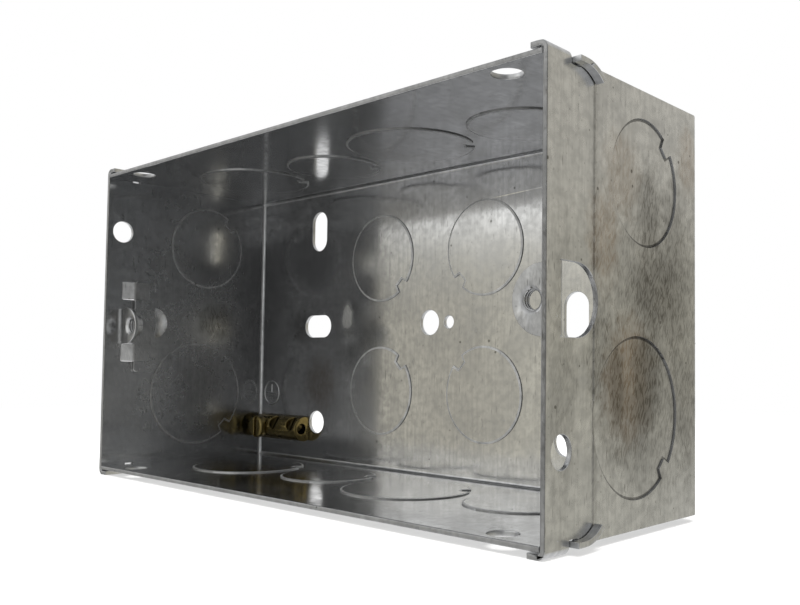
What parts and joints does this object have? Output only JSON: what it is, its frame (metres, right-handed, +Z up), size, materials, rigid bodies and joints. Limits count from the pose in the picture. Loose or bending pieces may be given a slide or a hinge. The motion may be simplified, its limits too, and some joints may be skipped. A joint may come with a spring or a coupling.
{
  "type": "flush back box",
  "caption": "Folded galvanised steel wall box, open at the front, with part-sheared knockouts, a fixed and a sliding screw lug, wall fixing holes and a brass earth terminal.",
  "frame": {"origin": "middle of the back plate's outer face, on the axis of the centre fixing hole", "axes": "+X along the long side towards the fixed lug, +Y out of the back plate into the wall, +Z up"},
  "size_m": [0.1352, 0.047, 0.0742],
  "materials": {
    "galvanised_sheet": "worn zinc coat, glossy, with fine scratches, specks and brown stains",
    "terminal_brass": "turned brass, dulled"
  },
  "bodies": {
    "box": {"box_body": "galvanised_sheet", "earth_terminal": "terminal_brass", "terminal_screw": "terminal_brass", "clamp_screws": "terminal_brass"},
    "sliding_lug": {"adjustable_lug": "galvanised_sheet"}
  },
  "joints": [
    {"name": "lug_slide", "type": "slide", "parent": "box", "child": "sliding_lug", "axis": [0, 0, 1], "range_m": [0, 0.0023]}
  ]
}
